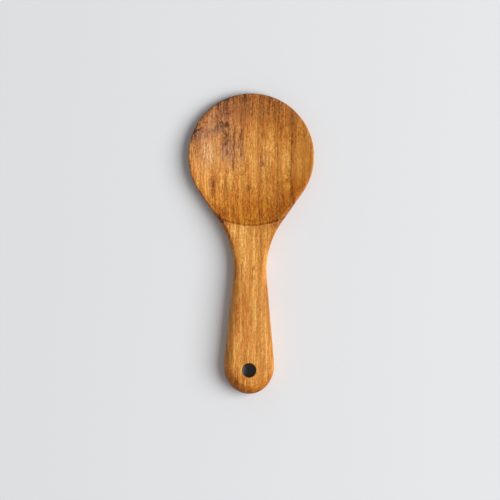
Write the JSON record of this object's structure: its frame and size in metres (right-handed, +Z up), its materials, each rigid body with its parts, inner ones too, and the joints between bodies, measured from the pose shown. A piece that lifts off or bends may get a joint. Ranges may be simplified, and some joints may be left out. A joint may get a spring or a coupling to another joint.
{
  "type": "rice paddle",
  "caption": "One-piece wooden rice paddle with a round dished head, a waisted neck and a rounded handle with a hanging hole.",
  "frame": {"origin": "on the table, under the middle of the paddle's length and width", "axes": "+Y along the paddle from the handle's end to the tip of the head, +X across it, +Z up out of the dished face"},
  "size_m": [0.0838, 0.2, 0.0156],
  "materials": {
    "oiled_wood": "oiled straight-grained wood, satin, darker where the end grain shows"
  },
  "bodies": {
    "root": {"paddle": "oiled_wood"}
  },
  "joints": []
}
